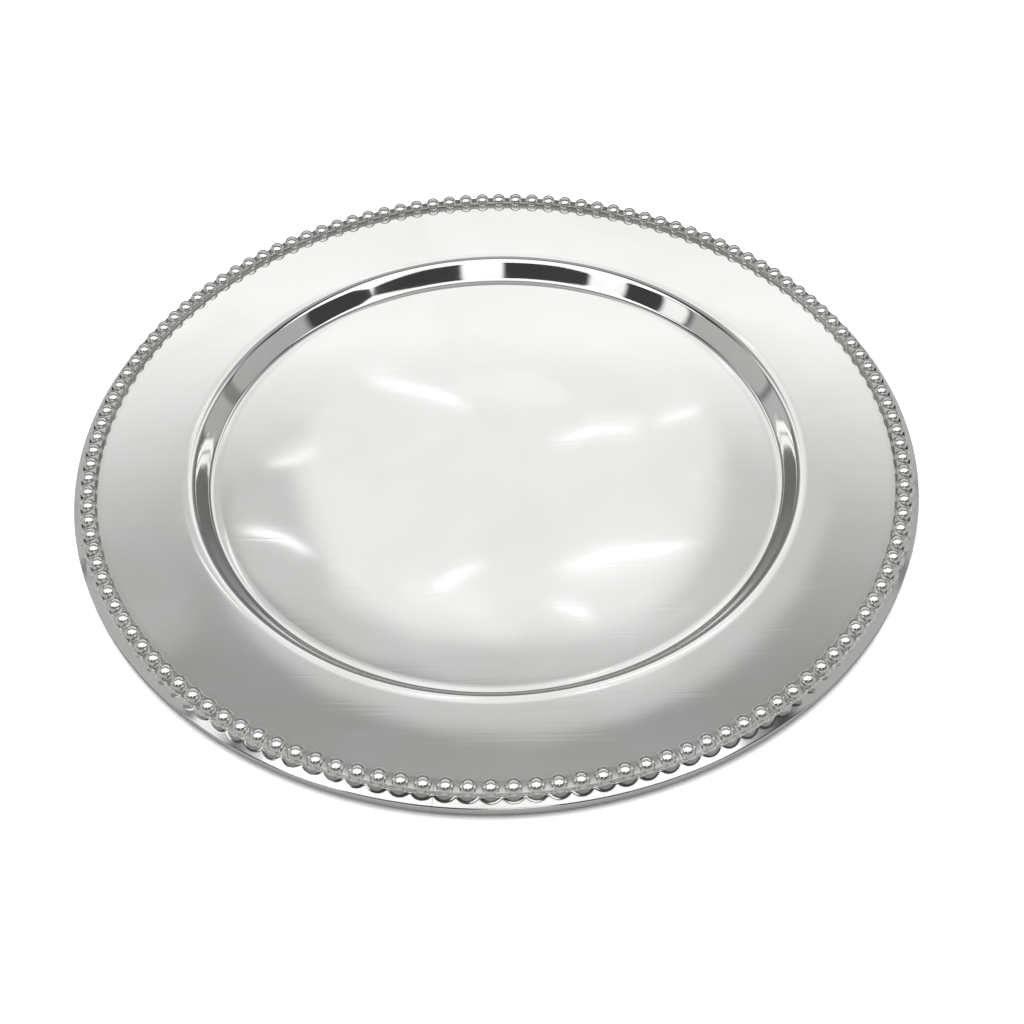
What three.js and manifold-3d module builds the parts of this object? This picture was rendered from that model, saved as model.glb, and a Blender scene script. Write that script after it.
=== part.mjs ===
// A beaded silver salver, standing on the underside of its well.
//
// It is made of a spun dish, a row of beads struck in short lengths and soldered end to end round
// the rim, a drawn lip moulding in longer lengths outside the beads, and a stiffening wire under
// the rim. Millimetres, +Z up. The origin is the centre of the well's underside, on the table.
import * as THREE from "three";
import { mergeVertices } from "three/addons/utils/BufferGeometryUtils.js";
import Module from "manifold-3d";

const wasm = await Module();
wasm.setup();

// ---------- driving dimensions ----------

// Dish, spun from one disc. The fillets are measured on the middle of the sheet.
const OUTER_RADIUS = 165; // over the lip
const WELL_RADIUS = 112; // flat floor of the well, to where the booge starts
const SHEET = 1.2; // gauge of the dish
const BOOGE_RUN = 8.8; // width in plan of the wall between well and rim
const BOOGE_RISE = 8; // height of that wall
const FOOT_FILLET = 3; // radius where the booge leaves the well
const SHOULDER_FILLET = 3; // radius where the booge turns into the rim
const RIM_RISE = 0.6; // how much higher the rim's edge is than its shoulder

// Bead border, on top of the rim.
const BEAD_DIAMETER = 6.4;
const BEAD_SPACE = 1.15; // between neighbouring beads, before they are shared out evenly
const BEAD_SINK = 0.2; // how far a bead's centre lies below the top of its strip
const STRIP_THICKNESS = 0.8; // the strip that carries the beads
const STRIP_MARGIN = 0.1; // strip beyond the bead, on each side
const BORDER_LENGTHS = 12; // soldered end to end
const BORDER_JOINT = 262; // degrees from +X towards +Y, where a border joint lies

// Lip moulding, outside the beads, with a ledge under the edge of the dish.
const LIP_WIDTH = 2.7; // from its inner wall to the outer edge
const LIP_DROP = 5.8; // from the dish's top face at its edge to the lip's lower edge
const LIP_EDGE_HEIGHT = 0.9; // upright band at the outer edge
const LIP_EDGE_WALL = 1.2; // thickness of the lip at its lower edge
const LEDGE_WIDTH = 2.5; // how far the ledge reaches under the dish
const LEDGE_THICKNESS = 1;
const LIP_LENGTHS = 4;

// Stiffening wire, soldered under the rim beside the ledge.
const WIRE_DIAMETER = 3;

// Clearances between soldered neighbours.
const SEAM = 0.3; // face to face
const JOINT = 0.3; // end to end

// ---------- fineness ----------

const SEGMENTS = 96; // round the salver, a multiple of both numbers of lengths
const FILLET_STEPS = 3;
const LIP_STEPS = 4;
const BEAD_SIDES = 8;
const BEAD_RINGS = [22, 52]; // degrees of elevation of a bead's rings
const WIRE_SIDES = 8;

// ---------- sizes that follow ----------

const SEGMENT = (2 * Math.PI) / SEGMENTS;
const SHOULDER_RADIUS = WELL_RADIUS + BOOGE_RUN;
const LIP_INNER_RADIUS = OUTER_RADIUS - LIP_WIDTH;
const DISH_EDGE_RADIUS = LIP_INNER_RADIUS - SEAM;
const STRIP_HALF_WIDTH = BEAD_DIAMETER / 2 + STRIP_MARGIN;
const BEAD_RING_RADIUS = DISH_EDGE_RADIUS - STRIP_HALF_WIDTH;
const LEDGE_RADIUS = DISH_EDGE_RADIUS - LEDGE_WIDTH;
const WIRE_RING_RADIUS = LEDGE_RADIUS - SEAM - WIRE_DIAMETER / 2;

const SHEET_MIDDLE = SHEET / 2; // height of the well's middle plane
const RIM_SLOPE = Math.atan(RIM_RISE / (DISH_EDGE_RADIUS - SHOULDER_RADIUS));

// Height of the sheet's middle on the rim, at a radius.
function rimMiddle(radius) {
  return SHEET_MIDDLE + BOOGE_RISE + (radius - SHOULDER_RADIUS) * Math.tan(RIM_SLOPE);
}

// Height of the rim's faces above and below that middle.
const RIM_HALF = SHEET / 2 / Math.cos(RIM_SLOPE);

function rimTop(radius) {
  return rimMiddle(radius) + RIM_HALF;
}

function rimUnderside(radius) {
  return rimMiddle(radius) - RIM_HALF;
}

const STRIP_OUTER_RADIUS = BEAD_RING_RADIUS + STRIP_HALF_WIDTH;
const STRIP_INNER_RADIUS = BEAD_RING_RADIUS - STRIP_HALF_WIDTH;
const STRIP_BASE = rimTop(STRIP_OUTER_RADIUS) + SEAM;
const STRIP_TOP = STRIP_BASE + STRIP_THICKNESS;

// ---------- materials ----------

function silver(name, color, roughness) {
  const material = new THREE.MeshStandardMaterial({ color, roughness, metalness: 1 });
  material.name = name;
  return material;
}

const POLISHED_SHEET = silver("polished_sheet", 0xd9dad6, 0.08);
const STRUCK_BEADS = silver("struck_beads", 0xcfd0cb, 0.12);
const DRAWN_MOULDING = silver("drawn_moulding", 0xd4d5d1, 0.1);
const HARD_WIRE = silver("hard_wire", 0xb9bab4, 0.3);

// ---------- shape helpers ----------

// A closed section turned once round Z. Sections are Vector2 lists of radius and height.
function turned(section) {
  return new THREE.LatheGeometry(section, SEGMENTS).rotateX(Math.PI / 2);
}

function point(radius, angle, height) {
  return [radius * Math.cos(angle), radius * Math.sin(angle), height];
}

// The angles of a bar's steps: its two ends, and the common segment lines between them.
function barAngles(from, to) {
  const angles = [from];
  const first = Math.floor(from / SEGMENT) + 1;
  const last = Math.ceil(to / SEGMENT) - 1;
  for (let line = first; line <= last; line += 1) {
    angles.push(line * SEGMENT);
  }
  angles.push(to);
  return angles;
}

// A section carried round Z from one angle to another, closed by flat ends.
function bar(section, from, to) {
  const outline = THREE.ShapeUtils.isClockWise(section) ? section.slice().reverse() : section;
  const sides = outline.length;
  const angles = barAngles(from, to);
  const positions = [];
  const index = [];
  for (const angle of angles) {
    for (const corner of outline) {
      positions.push(...point(corner.x, angle, corner.y));
    }
  }
  for (let step = 0; step < angles.length - 1; step += 1) {
    for (let side = 0; side < sides; side += 1) {
      const a = step * sides + side;
      const b = step * sides + ((side + 1) % sides);
      index.push(a, a + sides, b + sides);
      index.push(a, b + sides, b);
    }
  }
  const lastRing = (angles.length - 1) * sides;
  for (const [a, b, c] of THREE.ShapeUtils.triangulateShape(outline, [])) {
    index.push(a, b, c);
    index.push(lastRing + c, lastRing + b, lastRing + a);
  }
  const geometry = new THREE.BufferGeometry();
  geometry.setAttribute("position", new THREE.Float32BufferAttribute(positions, 3));
  geometry.setIndex(index);
  geometry.computeVertexNormals();
  return geometry;
}

// The two angles of one of a number of equal lengths, with half a joint left at each end.
function lengthAngles(number, count, start, radius) {
  const share = (2 * Math.PI) / count;
  const halfJoint = JOINT / 2 / radius;
  const from = start + number * share;
  return [from + halfJoint, from + share - halfJoint];
}

function solidOf(geometry) {
  const bare = geometry.clone();
  bare.deleteAttribute("normal");
  bare.deleteAttribute("uv");
  const merged = mergeVertices(bare, 1e-4);
  return new wasm.Manifold(
    new wasm.Mesh({
      numProp: 3,
      vertProperties: merged.attributes.position.array,
      triVerts: new Uint32Array(merged.index.array),
    }),
  );
}

function geometryOf(solid) {
  const mesh = solid.getMesh();
  const geometry = new THREE.BufferGeometry();
  geometry.setAttribute("position", new THREE.BufferAttribute(mesh.vertProperties, 3));
  geometry.setIndex(new THREE.BufferAttribute(mesh.triVerts, 1));
  geometry.computeVertexNormals();
  return geometry;
}

function named(name, geometry, material) {
  const mesh = new THREE.Mesh(geometry, material);
  mesh.name = name;
  return mesh;
}

function corner(radius, height) {
  return new THREE.Vector2(radius, height);
}

// ---------- dish ----------

// The sheet's middle line from the axis to the edge, as points with the slope at each.
function dishLine() {
  const fillets = FOOT_FILLET + SHOULDER_FILLET;
  const flatRise = BOOGE_RISE - fillets;
  const straight = Math.sqrt(BOOGE_RUN ** 2 + flatRise ** 2 - fillets ** 2);
  const steepest = Math.atan2(flatRise, BOOGE_RUN) + Math.atan2(fillets, straight);
  const line = [{ radius: 0, height: SHEET_MIDDLE, slope: 0 }];
  for (let step = 0; step <= FILLET_STEPS; step += 1) {
    const slope = (steepest * step) / FILLET_STEPS;
    const radius = WELL_RADIUS + FOOT_FILLET * Math.sin(slope);
    const height = SHEET_MIDDLE + FOOT_FILLET * (1 - Math.cos(slope));
    line.push({ radius, height, slope });
  }
  for (let step = 0; step <= FILLET_STEPS; step += 1) {
    const slope = steepest + ((RIM_SLOPE - steepest) * step) / FILLET_STEPS;
    const radius = SHOULDER_RADIUS - SHOULDER_FILLET * Math.sin(slope);
    const height = SHEET_MIDDLE + BOOGE_RISE - SHOULDER_FILLET * (1 - Math.cos(slope));
    line.push({ radius, height, slope });
  }
  line.push({ radius: DISH_EDGE_RADIUS, height: rimMiddle(DISH_EDGE_RADIUS), slope: 0 });
  return line;
}

// One face of the sheet: half a gauge above the line, or below it.
function dishFace(side) {
  return dishLine().map(({ radius, height, slope }) =>
    corner(
      radius - (side * SHEET * Math.sin(slope)) / 2,
      height + (side * SHEET * Math.cos(slope)) / 2,
    ),
  );
}

function dish() {
  const underside = dishFace(-1);
  const top = dishFace(1).reverse();
  return named("dish", turned([...underside, ...top]), POLISHED_SHEET);
}

// ---------- bead border ----------

const BEADS_PER_LENGTH = Math.round(
  (2 * Math.PI * BEAD_RING_RADIUS) / BORDER_LENGTHS / (BEAD_DIAMETER + BEAD_SPACE),
);

// A bead stands on a base inside its strip.
function beadSection() {
  const radius = BEAD_DIAMETER / 2;
  const centre = STRIP_TOP - BEAD_SINK;
  const base = STRIP_BASE + STRIP_THICKNESS / 4;
  const section = [corner(0, base), corner(radius, base), corner(radius, centre)];
  for (const elevation of BEAD_RINGS.map(THREE.MathUtils.degToRad)) {
    section.push(corner(radius * Math.cos(elevation), centre + radius * Math.sin(elevation)));
  }
  section.push(corner(0, centre + radius));
  return section;
}

function stripSection() {
  return [
    corner(STRIP_INNER_RADIUS, STRIP_BASE),
    corner(STRIP_OUTER_RADIUS, STRIP_BASE),
    corner(STRIP_OUTER_RADIUS, STRIP_TOP),
    corner(STRIP_INNER_RADIUS, STRIP_TOP),
  ];
}

function bead(angle) {
  return new THREE.LatheGeometry(beadSection(), BEAD_SIDES)
    .rotateX(Math.PI / 2)
    .translate(BEAD_RING_RADIUS, 0, 0)
    .rotateZ(angle);
}

function beadBorder(number) {
  const start = THREE.MathUtils.degToRad(BORDER_JOINT);
  const [from, to] = lengthAngles(number, BORDER_LENGTHS, start, BEAD_RING_RADIUS);
  const pitch = (2 * Math.PI) / BORDER_LENGTHS / BEADS_PER_LENGTH;
  const firstBead = start + number * BEADS_PER_LENGTH * pitch + pitch / 2;
  let solid = solidOf(bar(stripSection(), from, to));
  for (let count = 0; count < BEADS_PER_LENGTH; count += 1) {
    solid = solid.add(solidOf(bead(firstBead + count * pitch)));
  }
  const name = "bead_border_" + String(number + 1).padStart(2, "0");
  return named(name, geometryOf(solid), STRUCK_BEADS);
}

// ---------- lip moulding ----------

function lipSection() {
  const ledgeTop = rimUnderside(LEDGE_RADIUS) - SEAM;
  const ledgeBottom = ledgeTop - LEDGE_THICKNESS;
  const lowerEdge = rimTop(DISH_EDGE_RADIUS) - LIP_DROP;
  const bandTop = lowerEdge + LIP_EDGE_HEIGHT;
  const section = [corner(LEDGE_RADIUS, ledgeTop), corner(LIP_INNER_RADIUS, ledgeTop)];
  for (let step = 0; step <= LIP_STEPS; step += 1) {
    const turn = (Math.PI / 2) * (step / LIP_STEPS);
    const radius = LIP_INNER_RADIUS + LIP_WIDTH * Math.sin(turn);
    section.push(corner(radius, bandTop + (STRIP_TOP - bandTop) * Math.cos(turn)));
  }
  section.push(corner(OUTER_RADIUS, lowerEdge));
  section.push(corner(OUTER_RADIUS - LIP_EDGE_WALL, lowerEdge));
  section.push(corner(LIP_INNER_RADIUS - LIP_EDGE_WALL, ledgeBottom));
  section.push(corner(LEDGE_RADIUS, ledgeBottom));
  return section;
}

function lipMoulding(number) {
  const start = THREE.MathUtils.degToRad(BORDER_JOINT);
  const [from, to] = lengthAngles(number, LIP_LENGTHS, start, OUTER_RADIUS);
  return named("lip_moulding_" + (number + 1), bar(lipSection(), from, to), DRAWN_MOULDING);
}

// ---------- stiffening wire ----------

function rimWire() {
  const radius = WIRE_DIAMETER / 2;
  const inside = WIRE_RING_RADIUS - radius;
  const centre = rimUnderside(inside) - SEAM - radius;
  const section = [];
  for (let side = 0; side <= WIRE_SIDES; side += 1) {
    const turn = (2 * Math.PI * side) / WIRE_SIDES;
    section.push(
      corner(WIRE_RING_RADIUS + radius * Math.cos(turn), centre + radius * Math.sin(turn)),
    );
  }
  return named("rim_wire", turned(section), HARD_WIRE);
}

// ---------- the salver ----------

const salver = new THREE.Group();
salver.name = "salver";
salver.add(dish());
for (let number = 0; number < BORDER_LENGTHS; number += 1) {
  salver.add(beadBorder(number));
}
for (let number = 0; number < LIP_LENGTHS; number += 1) {
  salver.add(lipMoulding(number));
}
salver.add(rimWire());

export default salver;
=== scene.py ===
"""The looks of a beaded silver salver, built round its packed CAD model.

The dish, the border lengths, the lip lengths and the rim wire each stand for the CAD node of the
same name. Sizes come from the frame where its boxes give them, and are named below where not.
"""
import math

import bpy
from mathutils import Matrix, Vector, noise


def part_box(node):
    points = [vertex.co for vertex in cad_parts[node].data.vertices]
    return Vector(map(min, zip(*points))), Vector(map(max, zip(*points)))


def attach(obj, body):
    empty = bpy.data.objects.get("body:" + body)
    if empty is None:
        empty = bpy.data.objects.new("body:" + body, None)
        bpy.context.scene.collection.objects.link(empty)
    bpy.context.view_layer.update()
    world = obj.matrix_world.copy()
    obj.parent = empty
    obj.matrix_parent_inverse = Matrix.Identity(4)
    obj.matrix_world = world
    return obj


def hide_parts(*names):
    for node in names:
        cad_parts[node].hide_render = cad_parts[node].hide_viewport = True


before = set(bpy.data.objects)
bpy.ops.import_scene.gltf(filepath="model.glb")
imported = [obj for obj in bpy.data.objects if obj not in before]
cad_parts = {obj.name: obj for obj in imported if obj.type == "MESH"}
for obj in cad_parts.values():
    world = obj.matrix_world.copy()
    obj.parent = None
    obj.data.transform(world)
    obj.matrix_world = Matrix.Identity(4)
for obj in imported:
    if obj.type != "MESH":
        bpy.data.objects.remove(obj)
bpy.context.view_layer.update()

bl_info = {
    "name": "Beaded Silver Salver",
    "version": (1, 0, 0),
    "blender": (4, 5, 0),
    "location": "View3D > Sidebar > Salver",
    "description": "Builds a spun silver salver with a beaded border and a drawn lip",
    "category": "Object",
}

BODY = "root"
MM = 0.001
SEAT = 0.02 * MM  # clearance under what rests on the rim


# ---------- what the frame gives ----------

def nodes_named(prefix):
    """The CAD nodes whose names start with a prefix, in order."""
    return sorted(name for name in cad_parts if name.startswith(prefix))


def box_of(prefix):
    """Lowest and highest corners round those nodes."""
    boxes = [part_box(name) for name in nodes_named(prefix)]
    low = Vector([min(box[0][axis] for box in boxes) for axis in range(3)])
    high = Vector([max(box[1][axis] for box in boxes) for axis in range(3)])
    return low, high


BORDER_NODES = nodes_named("bead_border")
LIP_NODES = nodes_named("lip_moulding")
_, DISH_HIGH = box_of("dish")
_, BEADS_HIGH = box_of("bead_border")
LIP_LOW, LIP_HIGH = box_of("lip_moulding")
WIRE_LOW, WIRE_HIGH = box_of("rim_wire")


# ---------- settings ----------

def length(name, description, default):
    return bpy.props.FloatProperty(
        name=name, description=description, default=default, unit="LENGTH", precision=5
    )


def angle(name, description, degrees):
    return bpy.props.FloatProperty(
        name=name, description=description, default=math.radians(degrees), subtype="ANGLE"
    )


def number(name, description, default):
    return bpy.props.FloatProperty(name=name, description=description, default=default)


def share(name, description, default):
    return bpy.props.FloatProperty(
        name=name, description=description, default=default, min=0.0, max=1.0, subtype="FACTOR"
    )


def colour(name, description, default):
    return bpy.props.FloatVectorProperty(
        name=name, description=description, default=default, size=4, min=0.0, max=1.0, subtype="COLOR"
    )


class SalverDishSettings(bpy.types.PropertyGroup):
    """The spun dish."""

    edge_radius: length("Edge Radius", "Radius of the sheet under the border", DISH_HIGH.x)
    edge_height: length("Edge Height", "Height of the rim's top face at its edge", DISH_HIGH.z)
    sheet: length("Sheet", "Gauge of the sheet", 1.2 * MM)
    well_radius: length("Well Radius", "Flat floor, to where the booge starts", 112 * MM)
    booge_run: length("Booge Run", "Width in plan of the wall round the well", 8.8 * MM)
    foot_fillet: length("Foot Fillet", "Radius between the well and the booge", 3 * MM)
    shoulder_fillet: length("Shoulder Fillet", "Radius between the booge and the rim", 3 * MM)
    rim_rise: length("Rim Rise", "How much higher the rim's edge is than its shoulder", 0.6 * MM)
    wave_height: length("Wave Height", "Unevenness that planishing leaves in the sheet", 0.05 * MM)
    wave_length: length("Wave Length", "Size of that unevenness", 46 * MM)
    rim_evenness: share("Rim Evenness", "How much less the rim is uneven than the well", 0.6)


class SalverBorderSettings(bpy.types.PropertyGroup):
    """The beaded border on the rim."""

    inset: length("Inset", "From the dish's edge to the ring of the beads' centres", 3.3 * MM)
    strip_outside: length("Strip Outside", "How far the strip reaches outwards of the ring", 2.2 * MM)
    strip_inside: length("Strip Inside", "How far the strip reaches inwards of the ring", 3.25 * MM)
    strip_thickness: length("Strip Thickness", "The strip's outer edge", 0.7 * MM)
    strip_crest: length("Strip Crest", "Height of the strip's inner edge", 1.6 * MM)
    strip_batter: length("Strip Batter", "Lean of the wall below that edge, in plan", 0.9 * MM)
    strip_fillet: length("Strip Fillet", "Rounding of the strip's edges", 0.2 * MM)
    bead_sink: length("Bead Sink", "Depth of a bead's centre below the lip's seat", 0.2 * MM)
    bead_root: length("Bead Root", "How far a bead reaches below its centre", 0.85 * MM)
    beads: bpy.props.IntProperty(name="Beads", description="Beads on each length", default=11, min=1)
    first_joint: angle("First Joint", "Where the first length starts, from +X towards +Y", 262)
    joint: length("Joint", "Width of the soldered joint between two lengths", 0.12 * MM)


class SalverLipSettings(bpy.types.PropertyGroup):
    """The drawn moulding outside the beads, and the wire behind it."""

    outer_radius: length("Outer Radius", "Radius over the lip", LIP_HIGH.x)
    width: length("Width", "From the lip's inner wall to its outer edge", 2.95 * MM)
    overlap: length("Overlap", "How far the lip's thin edge covers the dish", 0.35 * MM)
    slope: angle("Slope", "Fall of the lip's face, outwards", 40)
    undercut: length("Undercut", "How far the lip's lower edge turns in", 0.2 * MM)
    skirt_reach: length("Skirt Reach", "From a bead's centre to the foot of its skirt", 4.9 * MM)
    skirt_height: length("Skirt Height", "Rise of the skirt to the bead", 1.3 * MM)
    edge_wall: length("Edge Wall", "Thickness at the lower edge", 1.2 * MM)
    ledge_width: length("Ledge Width", "How far the ledge reaches under the dish", 2.5 * MM)
    ledge_thickness: length("Ledge Thickness", "Thickness of that ledge", 1 * MM)
    seam: length("Seam", "Clearance to the dish", 0.3 * MM)
    arris: length("Arris", "Rounding of the moulding's corners", 0.18 * MM)
    joint: length("Joint", "Width of the soldered joint between two lengths", 0.12 * MM)
    solder_swell: length("Solder Swell", "Lump of solder at the wire's own joint", 0.25 * MM)


class SalverFinishSettings(bpy.types.PropertyGroup):
    """The colours and polish of the silver."""

    silver: colour("Silver", "Clean polished silver", (0.93, 0.935, 0.92, 1.0))
    warm_silver: colour("Warm Silver", "Faint film on the polish", (0.895, 0.895, 0.86, 1.0))
    tarnish: colour("Tarnish", "Dull film that collects in hollows", (0.30, 0.29, 0.26, 1.0))
    sheet_roughness: share("Sheet Roughness", "Polish of the dish", 0.04)
    bead_roughness: share("Bead Roughness", "Polish of the beads", 0.09)
    lip_roughness: share("Lip Roughness", "Polish of the lip", 0.07)
    wire_roughness: share("Wire Roughness", "Drawn surface of the wire", 0.28)


class SalverStudioSettings(bpy.types.PropertyGroup):
    """The camera, the floor and the studio light."""

    aim_x: length("Aim X", "Point that the camera looks at", 5.9 * MM)
    aim_y: length("Aim Y", "Point that the camera looks at", -28.6 * MM)
    distance: length("Distance", "From the camera to that point", 0.66)
    elevation: angle("Elevation", "Camera's height over the table", 47.41)
    roll: angle("Roll", "Camera's turn about its own line of sight", -1.35)
    lens: number("Lens", "Focal length in millimetres on a 36 mm wide sensor", 60.15)
    floor_size: length("Floor Size", "Width of the floor", 8.0)
    floor: colour("Floor", "Pale matt floor", (0.90, 0.90, 0.90, 1.0))
    # Painted shade: a darker floor colour that only the silver's reflections see. It stands in for
    # shade on the floor round the salver.
    painted_floor_shade: colour("Painted Floor Shade", "The floor as silver mirrors it", (0.20, 0.20, 0.20, 1.0))
    softbox_width: length("Softbox Width", "From left to right", 3.5)
    softbox_depth: length("Softbox Depth", "From front to back", 1.65)
    softbox_edge: length("Softbox Edge", "How far back the softbox reaches", 0.0)
    softbox_height: length("Softbox Height", "Height over the table", 1.33)
    softbox_brightness: number("Softbox Brightness", "Radiance of the softbox", 1.1)
    fill: number("Fill", "Power of the soft light over the floor, in watts", 85.0)
    fill_size: length("Fill Size", "Width of that light", 2.4)
    fill_height: length("Fill Height", "Height of that light over the floor", 1.8)


# ---------- mesh helpers ----------

def turned(name, outline, segments):
    """Turns an outline of (radius, height) once round Z.

    The outline runs outwards along the underside and back along the top, and either starts and
    ends on the axis or closes on itself.
    """
    on_axis = outline[0][0] == 0
    vertices = []
    rings = []
    for radius, height in outline:
        if radius == 0:
            rings.append([len(vertices)] * segments)
            vertices.append((0.0, 0.0, height))
            continue
        rings.append(range(len(vertices), len(vertices) + segments))
        for step in range(segments):
            turn = 2 * math.pi * step / segments
            vertices.append((radius * math.cos(turn), radius * math.sin(turn), height))
    pairs = list(zip(rings, rings[1:]))
    if not on_axis:
        pairs.append((rings[-1], rings[0]))
    faces = []
    for inner, outer in pairs:
        for step in range(segments):
            following = (step + 1) % segments
            corners = [inner[step], inner[following], outer[following], outer[step]]
            faces.append(list(dict.fromkeys(corners)))
    return mesh_of(name, vertices, faces)


def bar(name, outline, start, end, steps):
    """Carries a closed outline of (radius, height) round Z from one angle to another."""
    sides = len(outline)
    vertices = []
    for step in range(steps + 1):
        turn = start + (end - start) * step / steps
        for radius, height in outline:
            vertices.append((radius * math.cos(turn), radius * math.sin(turn), height))
    faces = []
    for step in range(steps):
        for side in range(sides):
            near = step * sides + side
            far = step * sides + (side + 1) % sides
            faces.append((near, near + sides, far + sides, far))
    faces.append(tuple(range(sides)))
    faces.append(tuple(steps * sides + side for side in reversed(range(sides))))
    return mesh_of(name, vertices, faces)


def mesh_of(name, vertices, faces):
    mesh = bpy.data.meshes.new(name)
    mesh.from_pydata(vertices, [], faces)
    mesh.validate()
    return mesh


def arc(centre, radius, start, end, steps):
    """Points of (radius, height) along an arc, its angles in degrees from outwards to upwards."""
    points = []
    for step in range(steps + 1):
        turn = math.radians(start + (end - start) * step / steps)
        points.append((centre[0] + radius * math.cos(turn), centre[1] + radius * math.sin(turn)))
    return points


def smooth(mesh, sharp_degrees):
    """Smooth shading, except across edges sharper than an angle."""
    mesh.shade_smooth()
    mesh.set_sharp_from_angle(angle=math.radians(sharp_degrees))


def set_recess(mesh, recess_at):
    """Stores how hidden each vertex is from the polishing cloth, from 0 to 1."""
    attribute = mesh.attributes.new("recess", "FLOAT", "POINT")
    values = [min(1.0, max(0.0, recess_at(vertex.co))) for vertex in mesh.vertices]
    attribute.data.foreach_set("value", values)


def shown(name, data):
    """A new object in the scene."""
    made = bpy.data.objects.new(name, data)
    bpy.context.scene.collection.objects.link(made)
    return made


def place(mesh, node, material):
    """Makes a mesh the piece that stands for a CAD node."""
    if not mesh.materials:
        mesh.materials.append(material)
    piece = shown(node + "_silver", mesh)
    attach(piece, BODY)
    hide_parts(node)
    return piece


# ---------- node helpers ----------

def add(tree, kind, inputs=None, **settings):
    """Adds a node, with its settings, and its inputs as values or as sockets to link from."""
    node = tree.nodes.new(kind)
    for name, value in settings.items():
        setattr(node, name, value)
    for key, value in (inputs or {}).items():
        if isinstance(value, bpy.types.NodeSocket):
            tree.links.new(value, node.inputs[key])
        else:
            node.inputs[key].default_value = value
    return node


def maths(tree, operation, *values):
    """One Math node's result."""
    inputs = dict(enumerate(values))
    return add(tree, "ShaderNodeMath", inputs, operation=operation).outputs[0]


def times(tree, first, second):
    return maths(tree, "MULTIPLY", first, second)


def ramp(tree, value, low, high, start=0.0, end=1.0):
    """Goes smoothly from start to end as a value goes from low to high."""
    inputs = {"Value": value, "From Min": low, "From Max": high, "To Min": start, "To Max": end}
    return add(tree, "ShaderNodeMapRange", inputs, interpolation_type="SMOOTHSTEP").outputs[0]


def blend(tree, part, first, second):
    """Goes from the first colour to the second as part goes from 0 to 1."""
    colours = {0: part, 6: first, 7: second}  # where a Mix node takes its factor and its colours
    return add(tree, "ShaderNodeMix", colours, data_type="RGBA").outputs[2]


def clouds(tree, spot, scale, detail, distortion=0.0):
    """One Noise node's value."""
    inputs = {"Vector": spot, "Scale": scale, "Detail": detail, "Distortion": distortion}
    return add(tree, "ShaderNodeTexNoise", inputs).outputs["Fac"]


def vector(tree, **parts):
    """The vector with those X, Y and Z."""
    return add(tree, "ShaderNodeCombineXYZ", parts).outputs[0]


def new_group(name, kind, inputs, outputs):
    """A node group, the sockets that give its inputs, and its output node."""
    tree = bpy.data.node_groups.new(name, kind)
    for socket_name, socket_type, default in inputs:
        socket = tree.interface.new_socket(socket_name, in_out="INPUT", socket_type=socket_type)
        if default is not None:
            socket.default_value = default
    for socket_name, socket_type in outputs:
        tree.interface.new_socket(socket_name, in_out="OUTPUT", socket_type=socket_type)
    return tree, tree.nodes.new("NodeGroupInput").outputs, tree.nodes.new("NodeGroupOutput")


FLOAT = "NodeSocketFloat"
COLOUR = "NodeSocketColor"


# ---------- silver ----------

# Each finish: the setting of its roughness, how much that varies, how much tarnish its hollows
# hold, and the scale and depth of its hairlines.
FINISHES = {
    "polished sheet": ("sheet_roughness", 0.02, 0.2, 260.0, 0.004 * MM),
    "struck beads": ("bead_roughness", 0.05, 0.6, 700.0, 0.004 * MM),
    "drawn moulding": ("lip_roughness", 0.04, 0.4, 500.0, 0.004 * MM),
    "hard wire": ("wire_roughness", 0.12, 0.5, 500.0, 0.01 * MM),
}
HAIRLINE_SETS = ((24.0, 0.05), (-38.0, 0.07), (81.0, 0.06))  # direction in degrees, and stretch
HAIRLINE_NOISE = (0.60, 0.74)  # from no line to a full one
HAIRLINE_SHARE = 0.6  # how much of the spread in roughness a full line takes
DULL_NOISE = (0.35, 0.70)
FILM_NOISE = (0.40, 0.75)
TARNISH_NOISE = (0.2, 0.8)
TARNISH_LEAST = 0.6  # how much tarnish is left where the noise is low
TARNISH_DULLING = 0.3  # roughness that full tarnish adds
HAIRLINE_STRENGTH = 0.25


def polish_marks():
    """Hairlines that a polishing cloth leaves, and clouds where the polish is duller."""
    found = bpy.data.node_groups.get("Polish Marks")
    if found:
        return found
    tree, given, result = new_group(
        "Polish Marks",
        "ShaderNodeTree",
        [
            ("Hairline Scale", FLOAT, 260.0),
            ("Cloud Scale", FLOAT, 16.0),
            ("Roughness", FLOAT, 0.06),
            ("Spread", FLOAT, 0.03),
        ],
        [("Roughness", FLOAT), ("Height", FLOAT)],
    )
    place_on = add(tree, "ShaderNodeTexCoord").outputs["Object"]
    lines = []
    for turn, stretch in HAIRLINE_SETS:
        turning = (0.0, 0.0, math.radians(turn))
        stretched = {"Vector": place_on, "Rotation": turning, "Scale": (stretch, 1.0, 1.0)}
        turned_place = add(tree, "ShaderNodeMapping", stretched).outputs[0]
        hair = clouds(tree, turned_place, given["Hairline Scale"], detail=4.0)
        lines.append(ramp(tree, hair, *HAIRLINE_NOISE))
    hairlines = maths(tree, "MAXIMUM", maths(tree, "MAXIMUM", lines[0], lines[1]), lines[2])
    cloud = clouds(tree, place_on, given["Cloud Scale"], detail=3.0, distortion=0.6)
    duller = times(tree, ramp(tree, cloud, *DULL_NOISE), given["Spread"])
    line_spread = times(tree, given["Spread"], HAIRLINE_SHARE)
    scuffed = times(tree, hairlines, line_spread)
    total = maths(tree, "ADD", given["Roughness"], maths(tree, "ADD", duller, scuffed))
    tree.links.new(total, result.inputs["Roughness"])
    tree.links.new(maths(tree, "SUBTRACT", 1.0, hairlines), result.inputs["Height"])
    return tree


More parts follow.
